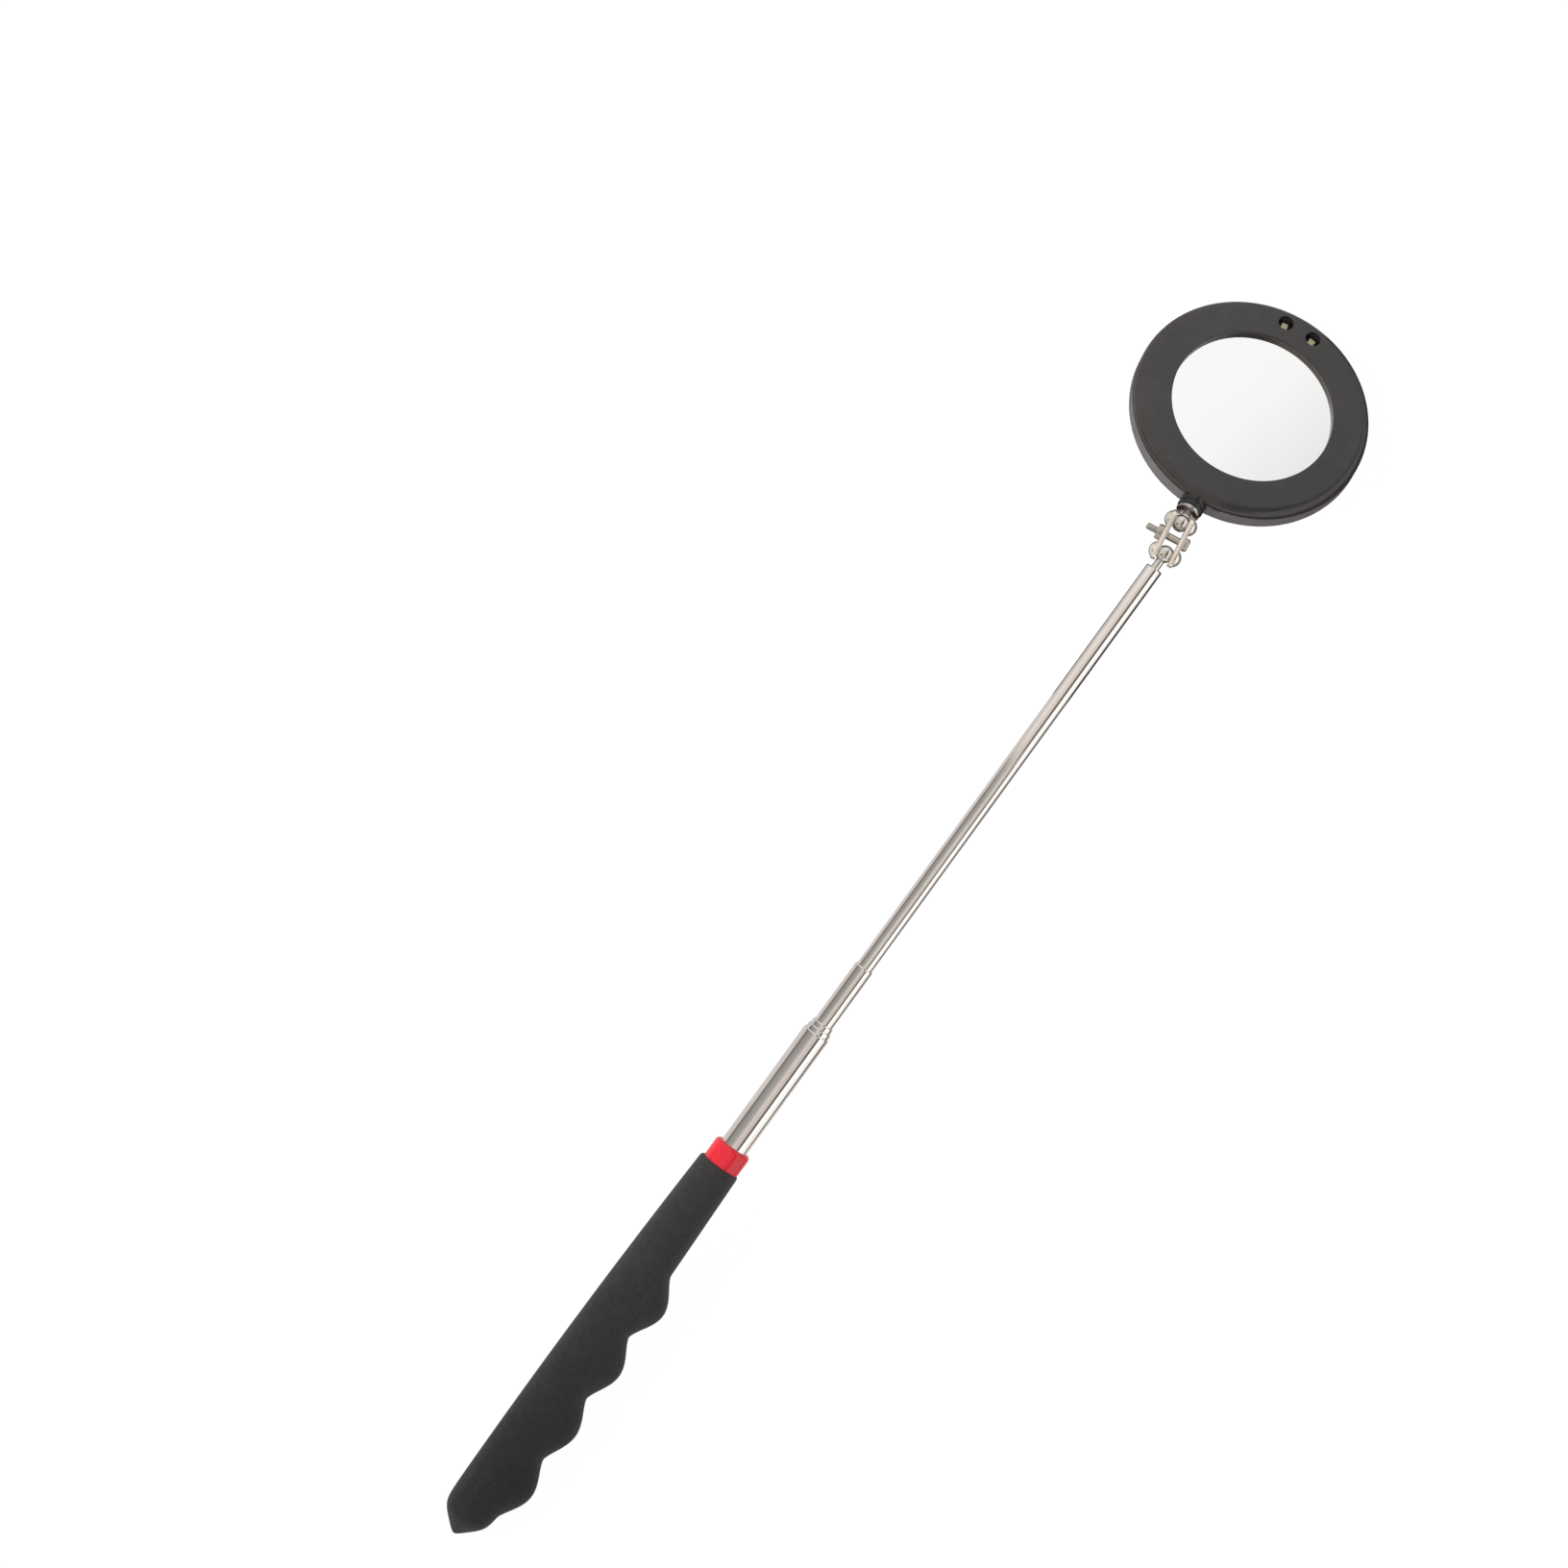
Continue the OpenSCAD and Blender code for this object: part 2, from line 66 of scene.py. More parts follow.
def nodePoints(node):
    mesh = frame["nodes"][node].data
    points = np.empty(len(mesh.vertices) * 3, np.float32)
    mesh.vertices.foreach_get("co", points)
    return points.reshape(-1, 3).astype(float)


def extent(node, place):  # lowest and highest corner of a node along a place's axes, in millimetres
    local = place.into(nodePoints(node)) / mm
    return local.min(0), local.max(0)


# the whole tool leans by toolRoll, the rod's own place starts at the grip's end, and the head faces faceAxis
toolRoll = 8.7  # degrees the tool leans towards its finger bumps as it lies
lean = math.radians(toolRoll)
tool = Place((0, 0, 0), (1, 0, 0), (0, -math.sin(lean), math.cos(lean)))
rodAxis = np.array(joints["rod_spin"]["axis"])
lowerBall = np.array(joints["rod_spin"]["pos_m"])
faceAxis = np.array(joints["battery_cover_turn"]["axis"])
headCentre = np.array(joints["battery_cover_turn"]["pos_m"])
gripEnd = ((nodePoints("foam_grip") - lowerBall) @ rodAxis).min()
rod = Place(lowerBall + rodAxis * gripEnd, rodAxis, tool.axes[2])


# camera, floor and light
view = {
    "lens": 180,         # mm
    "sensor": 36,        # mm
    "height": 2.7217,    # m, above the tool's own level
    "aim": (0.0206, 0.0584),
    "turn": 54.113,      # degrees between the rod and the view's right
    "reach": 20,         # m, how far the camera sees
}


def makeCamera():
    data = bpy.data.cameras.new("camera")
    data.lens = view["lens"]
    data.sensor_width = view["sensor"]
    data.clip_end = view["reach"]
    camera = bpy.data.objects.new("camera", data)
    camera.location = tool.out((*view["aim"], view["height"]))
    camera.rotation_euler = (lean, 0, 0)
    camera.rotation_euler.rotate_axis("Z", math.radians(-view["turn"]))
    bpy.context.scene.collection.objects.link(camera)
    bpy.context.scene.camera = camera


class Wire:
    # one socket in a sum: every sign adds a Math node
    def __init__(self, paint, socket):
        self.paint, self.socket = paint, socket

    def maths(self, operation, a, b):
        return self.paint.maths(operation, a, b)

    def __add__(self, other):
        return self.maths("ADD", self, other)

    def __sub__(self, other):
        return self.maths("SUBTRACT", self, other)

    def __rsub__(self, other):
        return self.maths("SUBTRACT", other, self)

    def __mul__(self, other):
        return self.maths("MULTIPLY", self, other)

    __radd__ = __add__
    __rmul__ = __mul__

    def clamped(self):
        return self.paint.maths("ADD", self, 0.0, True)


class Paint:
    # a node tree with short ways to add nodes, for a material or the world
    def __init__(self, owner):
        owner.use_nodes = True
        self.owner, self.tree = owner, owner.node_tree
        self.tree.nodes.clear()

    def add(self, kind, settings=None, sockets=None, out=0):
        node = self.tree.nodes.new(kind)
        for key, value in (settings or {}).items():
            if key == "stops":
                self.setStops(node.color_ramp, value)
            else:
                setattr(node, key, value)
        for key, value in (sockets or {}).items():
            self.put(node.inputs[key], value)
        return Wire(self, node.outputs[out]) if node.outputs else node

    def put(self, socket, value):
        if isinstance(value, Wire):
            self.tree.links.new(value.socket, socket)
        else:
            socket.default_value = value

    def setStops(self, ramp, stops):
        while len(ramp.elements) < len(stops):
            ramp.elements.new(1)
        for element, (at, colour) in zip(ramp.elements, stops):
            element.position = at
            element.color = (*colour, 1) if isinstance(colour, tuple) else (colour, colour, colour, 1)

    def maths(self, operation, a, b=0.0, clamp=False):
        return self.add("ShaderNodeMath", {"operation": operation, "use_clamp": clamp}, {0: a, 1: b})

    def mix(self, factor, a, b):
        return self.add("ShaderNodeMix", {"data_type": "RGBA"}, {0: factor, 6: a, 7: b}, 2)

    def ramp(self, value, *stops):
        return self.add("ShaderNodeValToRGB", {"stops": stops}, {0: value})

    def noise(self, vector, scale, detail):
        return self.add("ShaderNodeTexNoise", None, {"Vector": vector, "Scale": scale, "Detail": detail})

    def coords(self, place=None, out=3):  # object coordinates, turned into a place's own axes
        plain = self.add("ShaderNodeTexCoord", None, None, out)
        if place is None:
            return plain
        turn = Matrix(place.axes.tolist())
        shift = -(place.axes @ place.origin)
        return self.add("ShaderNodeMapping", None, {"Vector": plain, "Location": tuple(shift),
                                                    "Rotation": tuple(turn.to_euler("XYZ"))})

    def split(self, vector):
        node = self.tree.nodes.new("ShaderNodeSeparateXYZ")
        self.put(node.inputs[0], vector)
        return [Wire(self, node.outputs[k]) for k in range(3)]

    def scaled(self, vector, x, y, z):
        return self.add("ShaderNodeVectorMath", {"operation": "MULTIPLY"}, {0: vector, 1: (x, y, z)})

    def bump(self, height, distance, strength):
        sockets = {"Height": height, "Distance": distance, "Strength": strength}
        return self.add("ShaderNodeBump", None, sockets)

    def glow(self, colour, strength=1.0):
        return self.add("ShaderNodeEmission", None, {"Color": colour, "Strength": strength})

    def show(self, surface):
        self.add("ShaderNodeOutputMaterial", None, {0: surface})


def finish(name, base, fixed=None):  # a material with a Principled shader and its constant sockets
    paint = Paint(bpy.data.materials.new(name))
    shader = paint.tree.nodes.new("ShaderNodeBsdfPrincipled")
    out = paint.tree.nodes.new("ShaderNodeOutputMaterial")
    paint.tree.links.new(shader.outputs[0], out.inputs[0])
    shader.inputs["Base Color"].default_value = (*base, 1)
    for key, value in (fixed or {}).items():
        shader.inputs[key].default_value = value
    paint.shader = shader
    return paint


def stageOnly(name, points, faces, paint):  # a sheet for the studio, not part of the tool
    mesh = bpy.data.meshes.new(name)
    mesh.from_pydata([tuple(p) for p in points], [], faces)
    mesh.materials.append(paint.owner)
    sheet = bpy.data.objects.new(name, mesh)
    bpy.context.scene.collection.objects.link(sheet)
    return sheet


def square(half, high=0.0):
    return [(-half, -half, high), (half, -half, high), (half, half, high), (-half, half, high)]


# white paper: nearly shadowless to the camera, a little grey in reflections
paper = {
    "half": 6.0, "high": -0.0004,
    "matt": 0.9,         # what falls on the tool from below
    "white": 1.03,       # what the camera sees
    "bleached": 0.95,    # how much of the shadow is lost
    "reflected": (0.68, 0.63, 0.61),
}


def makeFloor():
    paint = Paint(bpy.data.materials.new("floor"))
    seen, shiny = [paint.add("ShaderNodeLightPath", None, None, out) for out in (0, 3)]
    matt = paint.add("ShaderNodeBsdfDiffuse", None, {"Color": (paper["matt"],) * 3 + (1,)})
    plain = paint.glow((1, 1, 1, 1), paper["white"])
    grey = paint.glow((*paper["reflected"], 1))
    direct = paint.add("ShaderNodeMixShader", None, {0: seen * paper["bleached"], 1: matt, 2: plain})
    paint.show(paint.add("ShaderNodeMixShader", None, {0: shiny, 1: direct, 2: grey}))
    stageOnly("floor", square(paper["half"], paper["high"]), [(0, 1, 2, 3)], paint)


# The sky that glossy surfaces see: bands across the rod as a studio's lamps, flags and walls give.
# The angle runs from the left horizon over the top to the right one, in the tool's own frame.
sky = {
    "glow": 0.62,        # what lights everything else
    "bands": [(-90, (0.6, 0.56, 0.53)), (-76, (0.84, 0.78, 0.72)), (-45, (0.88, 0.81, 0.74)),
              (-20, (0.76, 0.69, 0.64)), (4, (0.66, 0.6, 0.55)), (12, (0.11, 0.1, 0.09)),
              (29, (0.11, 0.1, 0.09)), (38, (1.15, 1.13, 1.1)), (90, (1.2, 1.18, 1.16))],
}
# A curved flag over the thick tubes gives them darker bands than the last tube has
flag = {
    "away": 0.5, "from": -0.4, "to": 0.037, "low": -88, "high": 47, "strips": 24,
    "bands": [(-88, (0.16, 0.14, 0.13)), (-78, (0.2, 0.18, 0.17)), (-64, (0.3, 0.285, 0.27)),
              (-36, (0.36, 0.35, 0.33)), (-20, (0.45, 0.43, 0.4)), (-6, (0.71, 0.66, 0.61)),
              (12, (0.66, 0.58, 0.54)), (28, (0.55, 0.5, 0.46)), (34, (0.09, 0.08, 0.075)),
              (44, (0.08, 0.07, 0.07)), (47, (0.6, 0.6, 0.6))],
}


def bandStops(bands, low, high):
    return [((at - low) / (high - low), colour) for at, colour in bands]


def makeSky():
    world = bpy.data.worlds.new("studio")
    bpy.context.scene.world = world
    paint = Paint(world)
    across, high = paint.split(paint.coords(tool, 0))[1:]
    angle = paint.maths("ARCTAN2", 0.0 - across, high)
    banded = paint.ramp(angle * (1 / math.pi) + 0.5, *bandStops(sky["bands"], -90, 90))
    seen = paint.add("ShaderNodeLightPath", None, None, 3)
    colour = paint.mix(seen, (sky["glow"],) * 3 + (1,), banded)
    back = paint.add("ShaderNodeBackground", None, {"Color": colour, "Strength": 1.0})
    paint.add("ShaderNodeOutputWorld", None, {0: back})


def onlyInReflections(sheet):
    sheet.visible_camera = sheet.visible_diffuse = sheet.visible_shadow = False
    sheet.visible_transmission = sheet.visible_volume_scatter = False


def makeFlag():
    paint = Paint(bpy.data.materials.new("flag"))
    across, high = paint.split(paint.coords(rod))[1:]
    angle = paint.maths("ARCTAN2", 0.0 - across, high) * (180 / math.pi)
    share = (angle - flag["low"]) * (1 / (flag["high"] - flag["low"]))
    paint.show(paint.glow(paint.ramp(share, *bandStops(flag["bands"], flag["low"], flag["high"]))))
    # an arc round the rod at each end: across -away sin a, high away cos a
    count = flag["strips"] + 1
    angles = np.radians(np.linspace(flag["low"], flag["high"], count))
    arc = np.stack([np.zeros(count), -flag["away"] * np.sin(angles), flag["away"] * np.cos(angles)], 1)
    arcs = [arc + [flag[end] - rod.origin[0], 0, 0] for end in ("from", "to")]
    faces = [(k, k + 1, k + 1 + count, k + count) for k in range(flag["strips"])]
    onlyInReflections(stageOnly("flag", rod.out(np.concatenate(arcs)), faces, paint))


# flat cards just over the floor, seen only in reflections: corners (along, across), height and colour; the two
# dark ones are painted shadow on the floor beside the rod and painted shade under the clamp
cards = {
    "paintedFloorShadow": ([(-0.3, -0.055), (-0.1, -0.06), (0.3, -0.3), (0.3, 0)], 0.001, (0.22, 0.195, 0.18)),
    "lowGlow": ([(-0.3, -0.5), (0.3, -0.5), (0.3, -0.3), (-0.1, -0.06)], 0.001, (1.05, 1.03, 1.0)),
    "clampFlag": ([(0.1, -0.08), (0.25, -0.08), (0.25, 0.07), (0.1, 0.07)], 0.002, (0.05, 0.042, 0.036)),
}


def makeCards():
    for name, (corners, high, colour) in cards.items():
        paint = Paint(bpy.data.materials.new(name))
        paint.show(paint.glow((*colour, 1)))
        onlyInReflections(stageOnly(name, [(*corner, high) for corner in corners], [(0, 1, 2, 3)], paint))


# the white card that the mirror and the housing's front look at, a little darker towards its foot
wall = {
    "away": 0.5, "half": 0.26,
    "slant": 0.45,       # how far the gradient turns from straight down
    "bands": [(0, 1.04), (0.42, 0.975), (0.5, 0.95), (0.56, 0.84), (0.66, 0.6), (1, 0.35)],
    "warmth": (1, 0.993, 0.985),
}


def makeWall():
    # it stands where the mirror sends the camera's look: out = 2 f (f . t) - t
    towards = unit(np.array(view["aim"] + (view["height"],)) @ tool.axes - headCentre)
    out = 2 * faceAxis * (faceAxis @ towards) - towards
    turn, slant = math.radians(view["turn"]), wall["slant"]
    foot = tool.axes.T @ np.array([-math.sin(turn) + slant * math.cos(turn),
                                   -math.cos(turn) - slant * math.sin(turn), 0])
    card = Place(headCentre + out * wall["away"], unit(foot - out * (foot @ out)), out)
    paint = Paint(bpy.data.materials.new("wall"))
    down = paint.split(paint.coords(card))[0]
    tone = paint.ramp(down * (0.5 / wall["half"]) + 0.5, *wall["bands"])
    paint.show(paint.glow(paint.scaled(tone, *wall["warmth"])))
    onlyInReflections(stageOnly("wall", card.out(square(wall["half"])), [(0, 1, 2, 3)], paint))


key = {"place": (-0.7, 1.3, 1.3), "side": 0.9, "power": 19}  # a square soft box that reflections don't show


def makeKey():
    data = bpy.data.lights.new("key", "AREA")
    data.shape = "SQUARE"
    data.size = key["side"]
    data.energy = key["power"]
    lamp = bpy.data.objects.new("key", data)
    lamp.location = key["place"]
    lamp.rotation_euler = (-Vector(key["place"])).to_track_quat("-Z", "Y").to_euler()
    lamp.visible_glossy = False
    bpy.context.scene.collection.objects.link(lamp)


makeCamera()
makeFloor()
makeSky()
makeFlag()
makeCards()
makeWall()
makeKey()
bpy.context.scene.view_settings.view_transform = "Standard"
print("camera, floor and light made")


sharpFrom = 38  # degrees between two faces from which their edge stays sharp
tiny = 1e-9  # m, below which a ring is a pole


def makeMesh(name, points, faces):
    # faces is a list of whole arrays of corner numbers, of threes and fours
    used, flat = np.unique(np.concatenate([f.ravel() for f in faces]), return_inverse=True)
    points = points[used]
    counts = np.concatenate([np.full(len(f), f.shape[1]) for f in faces])
    starts = np.concatenate([[0], np.cumsum(counts)[:-1]])
    # six times the volume: the sum of a . (b x c) over the faces' triangles
    volume = 0.0
    for first, corners in ((starts, (0, 1, 2)), (starts[counts == 4], (0, 2, 3))):
        a, b, c = [points[flat[first + k]] for k in corners]
        volume += np.einsum("ij,ij->i", a, np.cross(b, c)).sum()
    if volume < 0:  # the corners run the other way round, so that faces point outwards
        flat = np.concatenate([flat[a:a + n][::-1] for a, n in zip(starts, counts)])
    mesh = bpy.data.meshes.new(name)
    mesh.vertices.add(len(points))
    mesh.vertices.foreach_set("co", points.astype(np.float32).ravel())
    mesh.loops.add(len(flat))
    mesh.loops.foreach_set("vertex_index", flat.astype(np.int32))
    mesh.polygons.add(len(counts))
    mesh.polygons.foreach_set("loop_start", starts.astype(np.int32))
    mesh.polygons.foreach_set("loop_total", counts.astype(np.int32))
    mesh.polygons.foreach_set("use_smooth", np.ones(len(counts), bool))
    mesh.update(calc_edges=True)
    mesh.validate()
    mesh.set_sharp_from_angle(angle=math.radians(sharpFrom))
    piece = bpy.data.objects.new(name, mesh)
    bpy.context.scene.collection.objects.link(piece)
    return piece


def skin(name, grid, loop=False):
    # a grid of rings, each joined to the next one, and in a loop the last to the first;
    # a ring shrunk to a point is a pole
    rings, sides = grid.shape[:2]
    index = np.arange(rings * sides).reshape(rings, sides)
    pole = np.ptp(grid, axis=1).max(-1) < tiny
    index[pole] = index[pole][:, :1]
    here = index if loop else index[:-1]
    there = np.roll(index, -1, 0) if loop else index[1:]
    quads = np.stack([here, np.roll(here, -1, 1), np.roll(there, -1, 1), there], -1).reshape(-1, 4)
    shutHere, shutThere = quads[:, 0] == quads[:, 1], quads[:, 2] == quads[:, 3]
    faces = [quads[~shutHere & ~shutThere], quads[shutHere & ~shutThere][:, [0, 2, 3]],
             quads[shutThere & ~shutHere][:, [0, 1, 2]]]
    return makeMesh(name, grid.reshape(-1, 3), faces)


def rounded(corners, steps=7, shoulder=1.15):
    # a closed outline whose corners (x, radius, rounding) become arcs that touch both sides
    points = np.array([corner[:2] for corner in corners], float)
    outline = []
    for i, corner in enumerate(corners):
        if len(corner) < 3:
            outline.append(points[i])
            continue
        before, after = points[i - 1] - points[i], points[(i + 1) % len(points)] - points[i]
        back, on = unit(before), unit(after)
        half = math.acos(np.clip(back @ on, -1, 1)) / 2
        reach = corner[2] / math.tan(half)
        centre = points[i] + unit(back + on) * corner[2] / math.sin(half)
        turn = math.pi - 2 * half
        share = np.linspace(0, 1, steps + 1)[:, None]
        first, last = points[i] + back * reach - centre, points[i] + on * reach - centre
        bow = (first * np.sin((1 - share) * turn) + last * np.sin(share * turn)) / math.sin(turn)
        if np.linalg.norm(before) > 3 * reach:  # a point just past the arc keeps the flat beside it flat
            outline.append(points[i] + back * reach * shoulder)
        outline.extend(centre + bow)
        if np.linalg.norm(after) > 3 * reach:
            outline.append(points[i] + on * reach * shoulder)
    return np.array(outline)


def turned(name, outline, place, sides):
    # the outline (x, radius) carried round the place's x axis: x, radius cos a, radius sin a
    angle = np.linspace(0, 2 * np.pi, sides, endpoint=False)
    x, radius = outline[:, :1], outline[:, 1:]
    grid = np.stack([np.broadcast_to(x, (len(x), sides)), radius * np.cos(angle), radius * np.sin(angle)], -1)
    return skin(name, place.out(grid * mm), True)


def fit(piece, body, paint, node):  # the piece rides on a body, gets its finish and stands for a CAD node
    piece.data.materials.append(paint.owner)
    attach(piece, body)
    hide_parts(node)
    return piece


def foamFinish():
    # closed-cell foam: rounded cells, finer grain and soft blotches, and painted light: paler towards the collar,
    # darker at the nose
    paint = finish("foam", (0.024, 0.023, 0.023), {"Sheen Weight": 0.12, "Sheen Roughness": 0.5,
                                                   "Specular IOR Level": 0.25})
    where = paint.coords()
    cells = paint.add("ShaderNodeTexVoronoi", None, {"Vector": where, "Scale": 1500.0})
    grain = paint.noise(where, 2400.0, 4)
    blotch = paint.noise(where, 60.0, 3)
    patch = paint.noise(where, 330.0, 4)
    along = paint.split(paint.coords(rod))[0]
    # painted light: the foam's colour runs from shaded at the nose to lit by the collar, standing in for how light
    # falls along the grip
    paintedLightShare = paint.maths("MULTIPLY", along - 0.03, 7.0, True)
    tone = blotch * 0.14 + patch * 0.3 + grain * 0.56
    paintedLitFoam = paint.ramp(tone, (0.32, (0.03, 0.028, 0.027)), (0.5, (0.043, 0.041, 0.04)),
                      (0.7, (0.066, 0.062, 0.06)))
    paintedShadedFoam = paint.ramp(tone, (0.32, (0.014, 0.0135, 0.0135)), (0.5, (0.022, 0.021, 0.021)),
                       (0.7, (0.04, 0.038, 0.038)))
    paint.put(paint.shader.inputs["Base Color"], paint.mix(paintedLightShare, paintedShadedFoam, paintedLitFoam))
    paint.put(paint.shader.inputs["Roughness"], patch * 0.16 + 0.76)
    relief = cells * 0.6 + grain * 0.6 + patch * 0.4
    paint.put(paint.shader.inputs["Normal"], paint.bump(relief, 0.0003, 0.8))
    return paint


def chromeFinish():
    # bright plate on drawn tube: lines along the rod, hair scratches round it and faint smears
    paint = finish("tubeChrome", (0.9, 0.885, 0.87), {"Metallic": 1.0})
    where = paint.coords(rod)
    lines = paint.noise(paint.scaled(where, 8, 2600, 2600), 1.0, 3)
    rubs = paint.noise(paint.scaled(where, 2200, 60, 60), 1.0, 4)
    smear = paint.noise(where, 45.0, 3)
    paint.put(paint.shader.inputs["Roughness"], (lines * 0.05 + rubs * 0.05 + smear * 0.09).clamped())
    tone = paint.ramp(smear, (0.3, (0.87, 0.85, 0.83)), (0.7, (0.93, 0.92, 0.91)))
    paint.put(paint.shader.inputs["Base Color"], tone)
    paint.put(paint.shader.inputs["Normal"], paint.bump(lines + rubs * 0.3, 0.00001, 0.12))
    return paint


def metalFinish(name, colour, low, high, scale=700.0, relief=0.00003, strength=0.25, metallic=1.0):
    # plated or plain metal: mottled sheen, fine tumbling marks and duller patches
    paint = finish(name, colour, {"Metallic": metallic})
    where = paint.coords()
    mottle = paint.noise(where, scale, 4)
    broad = paint.noise(where, scale * 0.16, 3)
    sheen = paint.ramp(mottle * 0.6 + broad * 0.4, (0.35, low), (0.65, high))
    paint.put(paint.shader.inputs["Roughness"], sheen)
    dull = tuple(0.82 * c for c in colour)
    paint.put(paint.shader.inputs["Base Color"], paint.ramp(broad, (0.35, dull), (0.6, colour)))
    paint.put(paint.shader.inputs["Normal"], paint.bump(mottle, relief, strength))
    return paint


def plasticFinish(name, colour, rough, grain=1500.0, relief=0.00002, strength=0.3, spread=0.22):
    # moulded plastic: spark-eroded grain, flow marks, slightly paler rubbed patches
    paint = finish(name, colour, {"Coat Roughness": 0.12, "Specular IOR Level": 0.5})
    where = paint.coords()
    spark = paint.noise(where, grain, 3)
    flow = paint.noise(where, 38.0, 3)
    rub = paint.noise(where, 240.0, 5)
    pale = tuple((1 + spread) * c + 0.02 * spread for c in colour)
    deep = tuple((1 - 0.45 * spread) * c for c in colour)
    tone = paint.ramp(flow * 0.6 + rub * 0.4, (0.36, deep), (0.5, colour), (0.68, pale))
    paint.put(paint.shader.inputs["Base Color"], tone)
    paint.put(paint.shader.inputs["Roughness"], rub * 0.12 + spark * 0.06 + (rough - 0.09))
    paint.put(paint.shader.inputs["Normal"], paint.bump(spark + rub * 0.3, relief, strength))
    return paint


def mirrorFinish():
    # clean glass with a breath of haze and a few specks of dust
    paint = finish("mirror", (0.98, 0.98, 0.98), {"Metallic": 1.0})
    where = paint.coords()
    dust = paint.noise(where, 900.0, 5)
    haze = paint.noise(where, 70.0, 3)
    specks = paint.ramp(dust, (0.68, 0.0), (0.8, 0.1))
    tone = paint.ramp(dust, (0.62, (0.98, 0.98, 0.98)), (0.8, (0.95, 0.95, 0.95)))
    paint.put(paint.shader.inputs["Roughness"], (haze * 0.04 + specks * 0.3).clamped())
    paint.put(paint.shader.inputs["Base Color"], tone)
    return paint


foam = foamFinish()
chrome = chromeFinish()
brightSteel = metalFinish("brightSteel", (0.84, 0.82, 0.79), 0.04, 0.16)
nickel = metalFinish("nickel", (1.0, 0.94, 0.85), 0.14, 0.26, 900.0, 0.00001, 0.2, 0.75)
# the stem ferrule's chrome is painted darker, standing in for the dark housing it reflects
paintedShadeChrome = metalFinish("paintedShadeChrome", (0.5, 0.47, 0.47), 0.05, 0.12)
zinc = metalFinish("zinc", (0.66, 0.63, 0.57), 0.22, 0.45)
steel = metalFinish("steel", (0.66, 0.66, 0.66), 0.3, 0.5)
brass = metalFinish("brass", (0.78, 0.6, 0.3), 0.22, 0.4)
bronze = metalFinish("bronze", (0.62, 0.43, 0.22), 0.25, 0.45)
red = plasticFinish("redPlastic", (0.86, 0.021, 0.04), 0.16, 400.0, 0.000001, 0.06, 0.05)
housing = plasticFinish("housingPlastic", (0.041, 0.038, 0.037), 0.24, 1500.0, 0.000005, 0.2)
# the rear shell's plastic is painted lighter than the front's, standing in for the white floor reflected on its
# side wall
rearPlasticPaintedLight = plasticFinish("rearPlasticPaintedLight", (0.2, 0.185, 0.185), 0.3)
black = plasticFinish("blackPlastic", (0.018, 0.018, 0.018), 0.26)
dark = plasticFinish("darkPlastic", (0.03, 0.03, 0.03), 0.5)
cover = plasticFinish("coverPlastic", (0.045, 0.043, 0.042), 0.45)
board = plasticFinish("board", (0.012, 0.012, 0.012), 0.4)
led = plasticFinish("led", (0.9, 0.84, 0.5), 0.3, 3000.0)
redSleeve = plasticFinish("redSleeve", (0.5, 0.03, 0.03), 0.4)
blackSleeve = plasticFinish("blackSleeve", (0.02, 0.02, 0.02), 0.4)
mirror = mirrorFinish()
finishes = {
    "grip_collar": red, "handle_tube": steel, "end_plug": dark,
    "lower_ball_stud": brightSteel, "upper_ball_stud": brightSteel, "stem_ferrule": paintedShadeChrome,
    "clamp_plate_left": nickel, "clamp_plate_right": nickel, "clamp_screw": zinc, "clamp_nut": zinc,
    "housing_screws": zinc, "stem_socket": black, "front_bezel": housing, "rear_shell": rearPlasticPaintedLight,
    "mirror_glass": mirror, "mirror_backing": dark, "led_board": board, "led_left": led, "led_right": led,
    "battery_holder": dark, "coin_cell_inner": steel, "coin_cell_outer": steel,
    "contact_leaf": brass, "contact_clip": brass, "battery_cover": cover,
    "switch_body": dark, "switch_slider": black, "red_wire": redSleeve, "black_wire": blackSleeve,
}
for k in range(1, 6):
    finishes[f"tube_{k}"] = chrome
    finishes[f"friction_spring_{k}"] = bronze
for node, paint in finishes.items():
    frame["nodes"][node].data.materials.clear()
    frame["nodes"][node].data.materials.append(paint.owner)
print("finishes made")


# the grip in millimetres from its free end
grip = {
    "half": 9.8, "widest": 61, "fall": 1.8, "fallOver": 97,          # half its width, and how it narrows
    "groove": 10.3, "split": 48,                                     # reach of the finger side's grooves
    "noseDrop": 1.1, "noseOver": 34,                                 # how they fall before the split
    "collarDrop": 2.9, "collarOver": 110, "collarBend": 1.15,        # and behind it
    "bumps": 4, "bumpReach": 14.5, "start": 26.4, "pitch": 26.0, "sharp": 0.72, "pinch": 0.1,
    "cone": 1.12, "tip": 1.5, "blend": 6, "nose": 6,                 # the free end
    "edge": 1.0,                                                     # rounding at the collar
    "noseRings": 40, "rings": 300, "edgeRings": 7, "sides": 144,
}


def gripOutline(s):
    # at s: half the width, reach of the back and reach of the finger side, which rises to a bump each pitch;
    # the free end is a cone that runs out into a small round tip
    g = grip
    back = g["half"] - g["fall"] * ((s - g["widest"]) / g["fallOver"]) ** 2
    away = s - g["start"]
    wave = ((1 + np.cos(2 * np.pi * away / g["pitch"])) / 2) ** g["sharp"]
    wave = np.where(np.abs(away - (g["bumps"] - 1) / 2 * g["pitch"]) > g["bumps"] / 2 * g["pitch"], 0, wave)
    before, behind = np.maximum(g["split"] - s, 0), np.maximum(s - g["split"], 0)
    groove = (g["groove"] - g["noseDrop"] * (before / g["noseOver"]) ** 2
              - g["collarDrop"] * (behind / g["collarOver"]) ** g["collarBend"])
    finger = groove + (g["bumpReach"] - groove) * wave
    cone = np.sqrt((g["cone"] * s) ** 2 + 2 * g["tip"] * s) / g["half"]
    nose = cone / (1 + cone ** g["blend"]) ** (1 / g["blend"])
    return nose * (back - g["pinch"] * wave), nose * back, nose * finger


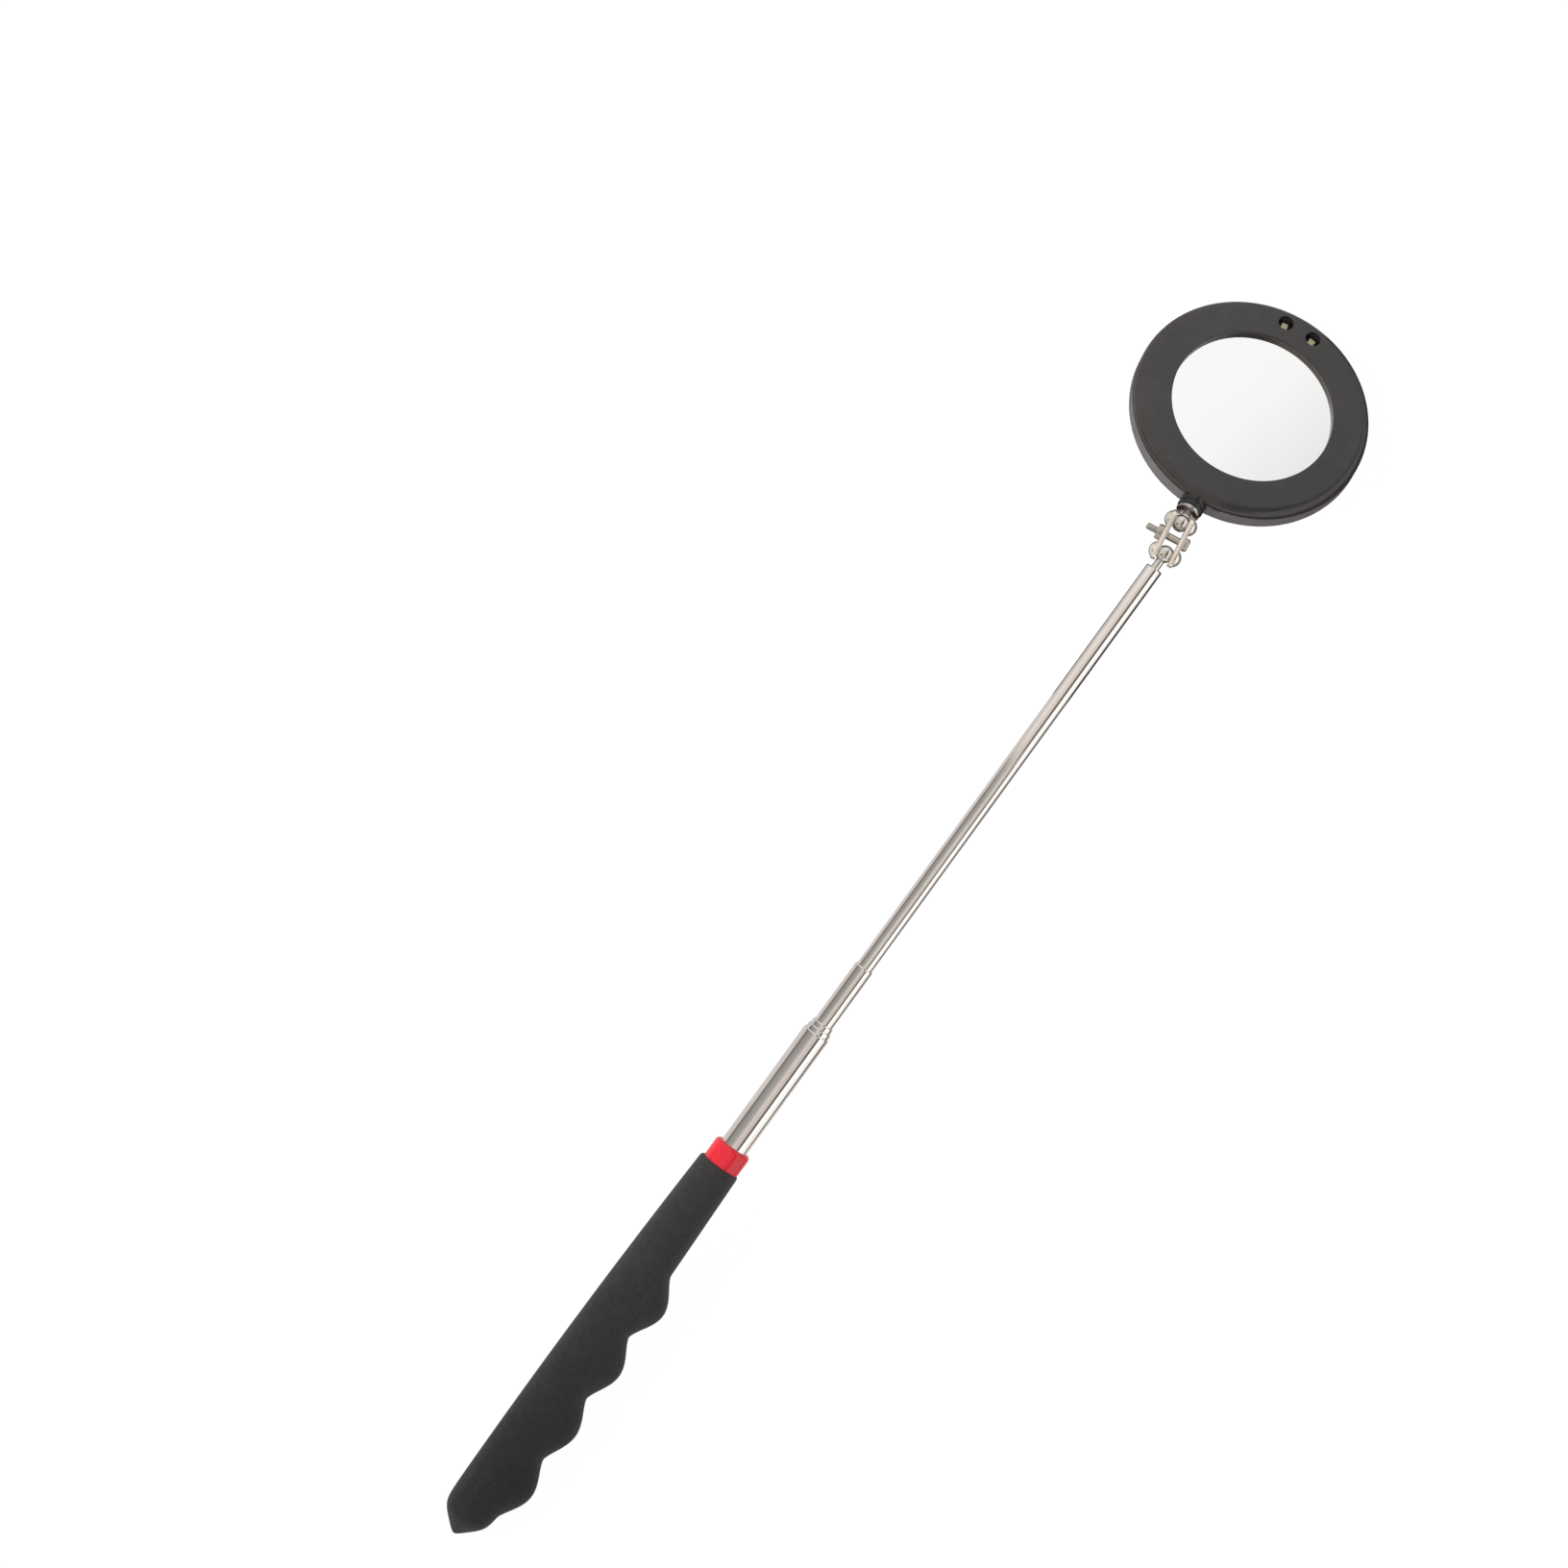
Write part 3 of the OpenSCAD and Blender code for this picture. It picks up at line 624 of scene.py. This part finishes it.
def makeGrip():
    # rings of y = reach cos a, z = half sin a, closer together at the free end, then the bore to the plug
    low, high = extent("foam_grip", rod)
    length = high[0] - low[0]
    body = length - grip["edge"]
    tip = np.linspace(0, 1, grip["noseRings"], endpoint=False) ** 2 * grip["nose"]
    slow = np.concatenate([tip, np.linspace(grip["nose"], body, grip["rings"])])
    bend = np.linspace(0, np.pi / 2, grip["edgeRings"] + 1)[1:]
    s = np.concatenate([slow, body + grip["edge"] * np.sin(bend)])
    inset = np.concatenate([np.zeros(len(slow)), grip["edge"] * (1 - np.cos(bend))])
    half, back, finger = [(line - inset)[:, None] for line in gripOutline(s)]
    a = np.linspace(0, 2 * np.pi, grip["sides"], endpoint=False)
    reach = np.where(np.cos(a) > 0, back, finger)
    grid = np.stack([np.broadcast_to(s[:, None], reach.shape), reach * np.cos(a), half * np.sin(a)], -1)
    inside = extent("handle_tube", rod)[1][1]
    floor = extent("end_plug", rod)[0][0] - low[0]
    bore = np.stack([np.full_like(a, length), inside * np.cos(a), inside * np.sin(a)], -1)
    deep = bore - [length - floor, 0, 0]
    shut = np.broadcast_to([floor, 0, 0], bore.shape)
    grid = np.concatenate([grid, bore[None], deep[None], shut[None]])
    piece = fit(skin("foamGrip", rod.out(grid * mm)), "handle", foam, "foam_grip")


collar = {"clearance": 0.1, "gripEdge": 0.25, "frontEdge": 1.3, "mouthEdge": 0.35, "sides": 128}


def makeCollar():
    # the outline runs along the outside and back through the bore, which steps out over the handle's tube
    low, high = extent("grip_collar", rod)
    outer, bore = high[1], extent("tube_1", rod)[1][1] + collar["clearance"]
    tubeEnd, tubeRadius = extent("handle_tube", rod)[1][:2]
    outline = rounded([(low[0], tubeRadius), (low[0], outer, collar["gripEdge"]),
                       (high[0], outer, collar["frontEdge"]), (high[0], bore, collar["mouthEdge"]),
                       (tubeEnd, bore), (tubeEnd, tubeRadius)])
    fit(turned("gripCollar", outline, rod, collar["sides"]), "handle", red, "grip_collar")


# each tube's mouth is rolled in round a small arc to a lip that guides the next tube
tubes = {
    "wall": 0.3, "clearance": 0.06, "sides": 96,
    "curl": 0.46, "lip": 1.6, "step": 0.4, "lipEdge": 0.12, "endEdge": 0.1,
    "neck": 1.5,         # radius of the stud's neck, which the last tube holds
}


def makeTubes():
    # the outline runs along the outside, in round the mouth and back through the lip to the bore
    for k in range(1, 6):
        low, high = extent(f"tube_{k}", rod)
        mouth, radius = high[:2]
        bore = radius - tubes["wall"]
        inner = extent(f"tube_{k + 1}", rod)[1][1] if k < 5 else tubes["neck"]
        guide = inner + tubes["clearance"]
        lip = mouth - tubes["lip"]
        outline = rounded([(low[0], bore), (low[0], radius, tubes["endEdge"]), (mouth, radius, tubes["curl"]),
                           (mouth, guide, tubes["lipEdge"]), (lip, guide), (lip - tubes["step"], bore)])
        fit(turned(f"tube{k}", outline, rod, tubes["sides"]), f"tube_{k}", chrome, f"tube_{k}")


makeGrip()
makeCollar()
makeTubes()
print("handle and rod made")


# clamp, stem and small parts: the CAD solids with their edges broken by a small radius, in millimetres
edges = {
    "clamp_plate_left": 0.22, "clamp_plate_right": 0.22, "clamp_nut": 0.12, "clamp_screw": 0.07,
    "stem_socket": 0.12, "stem_ferrule": 0.06, "led_left": 0.12, "led_right": 0.12, "battery_cover": 0.18,
    "switch_slider": 0.1, "housing_screws": 0.07,
}
brokenFrom = 32  # degrees between two faces from which their edge is broken
edgeSteps = 2
flatWithin = 0.5  # degrees within which two faces count as one
sameWithin = 1e-6  # m, within which two corners are one


def pieceName(node):
    first, *rest = node.split("_")
    return first + "".join(word.capitalize() for word in rest)


def makeSoftened():
    home = {node: body for body, nodes in frame["record"]["behaviour"]["bodies"].items() for node in nodes}
    for node, radius in edges.items():
        work = bmesh.new()
        work.from_mesh(frame["nodes"][node].data)
        bmesh.ops.remove_doubles(work, verts=work.verts, dist=sameWithin)
        bmesh.ops.dissolve_limit(work, angle_limit=math.radians(flatWithin), verts=work.verts,
                                 edges=work.edges)
        mesh = bpy.data.meshes.new(node)
        work.to_mesh(mesh)
        work.free()
        mesh.polygons.foreach_set("use_smooth", np.ones(len(mesh.polygons), bool))
        piece = bpy.data.objects.new(pieceName(node), mesh)
        bpy.context.scene.collection.objects.link(piece)
        bevel = piece.modifiers.new("edge", "BEVEL")
        bevel.width = radius * mm
        bevel.segments = edgeSteps
        bevel.limit_method = "ANGLE"
        bevel.angle_limit = math.radians(brokenFrom)
        bevel.harden_normals = True
        fit(piece, home[node], finishes[node], node)


makeSoftened()
print("small parts made")
